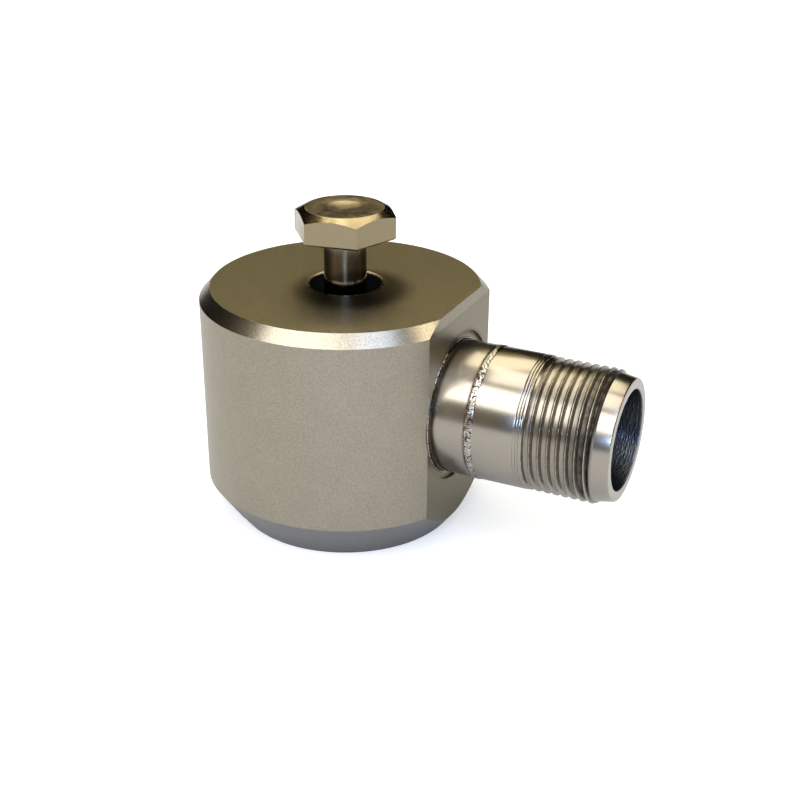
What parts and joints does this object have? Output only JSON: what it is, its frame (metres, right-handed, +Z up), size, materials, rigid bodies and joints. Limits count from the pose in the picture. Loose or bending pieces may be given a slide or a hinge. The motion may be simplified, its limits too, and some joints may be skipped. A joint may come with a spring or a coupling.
{
  "type": "vibration sensor",
  "caption": "Side-exit steel vibration sensor with a captive hex bolt through its round body and a threaded connector on its side flat.",
  "frame": {"origin": "on the body's axis at the plane of the base, where the captive bolt's tip rests", "axes": "+Z up the body's axis towards the bolt's head, +X along the connector, out of its mouth"},
  "size_m": [0.0534, 0.035, 0.0387],
  "materials": {
    "body_steel": "satin turned stainless steel",
    "bright_steel": "bright turned stainless steel",
    "insert_plastic": "dark moulded insulator",
    "seal_glass": "fused dark glass",
    "gold_plate": "gold plated",
    "ceramic": "fired ceramic",
    "crystal": "polarised ceramic",
    "sleeve_film": "polyimide",
    "copper": "plain",
    "mass_metal": "turned heavy metal",
    "tinned_brass": "tinned",
    "laminate": "glass-fibre laminate",
    "red_insulation": "wire insulation"
  },
  "bodies": {
    "body": {"housing": "body_steel", "base": "bright_steel", "connector_neck": "bright_steel", "connector_shell": "bright_steel", "connector_insert": "insert_plastic", "glass_seal": "seal_glass", "contact_pin_a": "gold_plate", "contact_pin_b": "gold_plate", "isolation_ring": "ceramic", "insulating_sleeve": "sleeve_film", "lower_electrode": "copper", "centre_electrode": "copper", "piezo_ring_lower": "crystal", "piezo_ring_upper": "crystal", "seismic_mass": "mass_metal", "spring_washer": "bright_steel", "preload_nut": "bright_steel", "inner_shield": "tinned_brass", "circuit_board": "laminate", "board_spacer": "insert_plastic", "amplifier_chip": "insert_plastic", "coupling_capacitor": "ceramic", "bias_capacitor": "ceramic", "signal_lead": "red_insulation", "ground_lead": "insert_plastic", "sensor_lead": "copper"},
    "bolt": {"captive_bolt": "bright_steel"}
  },
  "joints": [
    {"name": "bolt_slide", "type": "slide", "parent": "body", "child": "bolt", "axis": [0, 0, 1], "range_m": [-0.00558, 0.013]}
  ]
}
